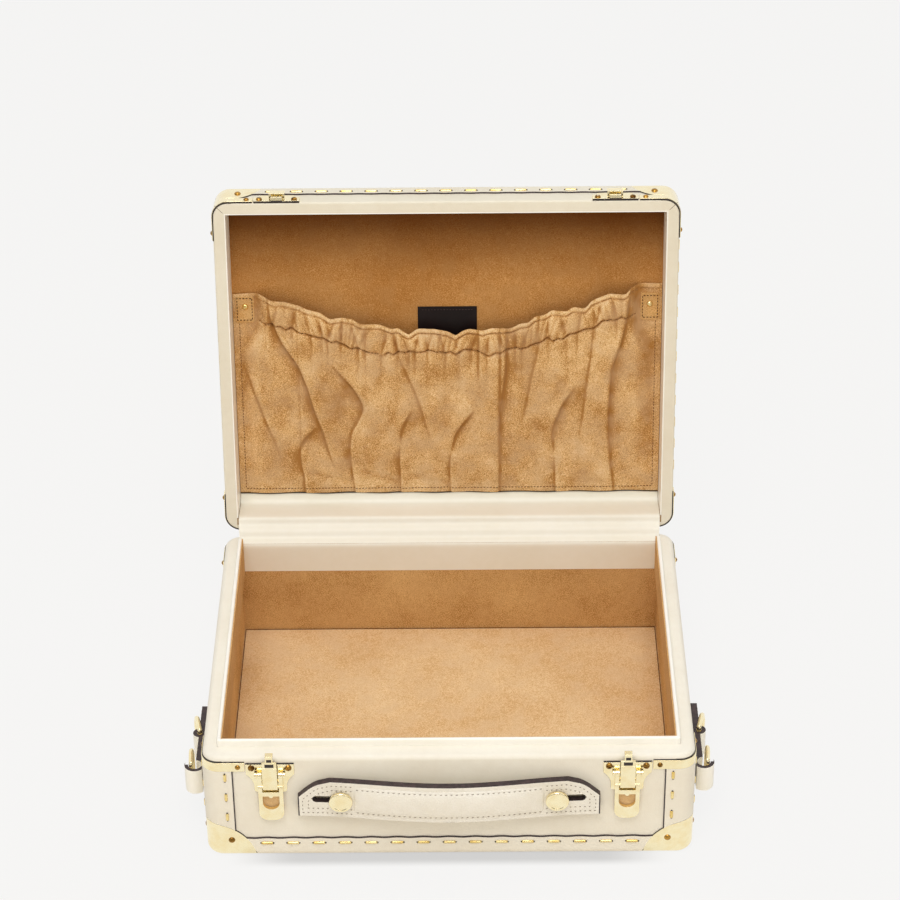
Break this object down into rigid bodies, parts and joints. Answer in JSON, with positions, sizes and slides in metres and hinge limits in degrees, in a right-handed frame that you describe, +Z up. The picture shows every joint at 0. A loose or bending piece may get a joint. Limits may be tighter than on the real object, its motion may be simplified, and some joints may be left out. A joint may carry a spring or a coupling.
{
  "type": "hard suitcase",
  "caption": "Small hard leather suitcase with brass corners, draw latches, a strap handle, side rings, suede lining and a gathered lid pocket, shown open.",
  "frame": {"origin": "centre of the case's underside, on the surface it stands on", "axes": "+Z up, -Y out of the front with the handle and latches, +X to the right seen from the front; the lid is open on its stop"},
  "size_m": [0.3624, 0.3501, 0.3444],
  "materials": {
    "cream_leather": "grained cream leather",
    "pale_leather": "smooth pale leather",
    "suede": "tan suede",
    "dark_leather": "dark brown leather",
    "board": "plain board, covered all over",
    "gold_brass": "polished, pale gold plated"
  },
  "bodies": {
    "case": {"body_core": "board", "body_cover": "cream_leather", "body_lip": "pale_leather", "collar_lining": "suede", "floor_lining": "suede", "wall_lining": "suede", "base_band": "cream_leather", "corner_bands": "cream_leather", "body_stitches": "gold_brass", "base_cap_front_left": "gold_brass", "base_cap_front_right": "gold_brass", "base_cap_back_left": "gold_brass", "base_cap_back_right": "gold_brass", "rim_brackets": "gold_brass", "body_nails": "gold_brass", "handle_strap": "pale_leather", "handle_knob_left": "gold_brass", "handle_knob_right": "gold_brass", "handle_nuts": "gold_brass", "latch_plate_left": "gold_brass", "latch_plate_right": "gold_brass", "latch_pivot_pins": "gold_brass", "latch_screws": "gold_brass", "side_pads": "dark_leather", "side_strap_left": "pale_leather", "side_strap_right": "pale_leather", "hinge_leaves_body": "gold_brass", "hinge_pins": "gold_brass", "hinge_screws_body": "gold_brass", "hinge_leather_body": "pale_leather"},
    "lid": {"lid_core": "board", "lid_cover": "cream_leather", "lid_wall_leather": "pale_leather", "lid_lining": "suede", "lid_band": "cream_leather", "lid_stitches": "gold_brass", "lid_caps": "gold_brass", "lid_brackets": "gold_brass", "lid_nails": "gold_brass", "keepers": "gold_brass", "keeper_screws": "gold_brass", "pocket": "suede", "pocket_tabs": "suede", "pocket_rivets": "gold_brass", "label": "dark_leather", "hinge_leather_lid": "pale_leather", "hinge_leaves_lid": "gold_brass", "hinge_screws_lid": "gold_brass"},
    "handle": {"handle_grip": "pale_leather"},
    "lever_left": {"latch_lever_left": "gold_brass", "tongue_pin_left": "gold_brass"},
    "lever_right": {"latch_lever_right": "gold_brass", "tongue_pin_right": "gold_brass"},
    "tongue_left": {"latch_tongue_left": "gold_brass"},
    "tongue_right": {"latch_tongue_right": "gold_brass"},
    "ring_left_rear": {"ring_left_rear": "gold_brass"},
    "ring_left_front": {"ring_left_front": "gold_brass"},
    "ring_right_rear": {"ring_right_rear": "gold_brass"},
    "ring_right_front": {"ring_right_front": "gold_brass"}
  },
  "joints": [
    {"name": "lid_hinge", "type": "hinge", "parent": "case", "child": "lid", "pos_m": [0, 0.1302, 0.0865], "axis": [1, 0, 0], "range_deg": [0, 99.75]},
    {"name": "handle_lift", "type": "slide", "parent": "case", "child": "handle", "axis": [0, -1, 0], "range_m": [0, 0.012], "deforming": ["handle_strap"]},
    {"name": "lever_left_swing", "type": "hinge", "parent": "case", "child": "lever_left", "pos_m": [-0.1195, -0.131, 0.074], "axis": [-1, 0, 0], "range_deg": [0, 110]},
    {"name": "tongue_left_turn", "type": "hinge", "parent": "lever_left", "child": "tongue_left", "pos_m": [-0.1195, -0.131, 0.064], "axis": [-1, 0, 0], "range_deg": [-112, 2]},
    {"name": "lever_right_swing", "type": "hinge", "parent": "case", "child": "lever_right", "pos_m": [0.1195, -0.131, 0.074], "axis": [-1, 0, 0], "range_deg": [0, 110]},
    {"name": "tongue_right_turn", "type": "hinge", "parent": "lever_right", "child": "tongue_right", "pos_m": [0.1195, -0.131, 0.064], "axis": [-1, 0, 0], "range_deg": [-112, 2]},
    {"name": "ring_left_rear_swing", "type": "hinge", "parent": "case", "child": "ring_left_rear", "pos_m": [-0.173, -0.057, 0.04], "axis": [0, 0, 1], "range_deg": [-3, 100]},
    {"name": "ring_left_front_swing", "type": "hinge", "parent": "case", "child": "ring_left_front", "pos_m": [-0.1763, -0.0926, 0.04], "axis": [0, 0, 1], "range_deg": [-3, 100]},
    {"name": "ring_right_rear_swing", "type": "hinge", "parent": "case", "child": "ring_right_rear", "pos_m": [0.173, -0.057, 0.04], "axis": [0, 0, -1], "range_deg": [-3, 100]},
    {"name": "ring_right_front_swing", "type": "hinge", "parent": "case", "child": "ring_right_front", "pos_m": [0.1763, -0.0926, 0.04], "axis": [0, 0, -1], "range_deg": [-3, 100]}
  ],
  "couplings": [
    {"joint": "tongue_left_turn", "follows": "lever_left_swing", "ratio": -1},
    {"joint": "tongue_right_turn", "follows": "lever_right_swing", "ratio": -1}
  ]
}
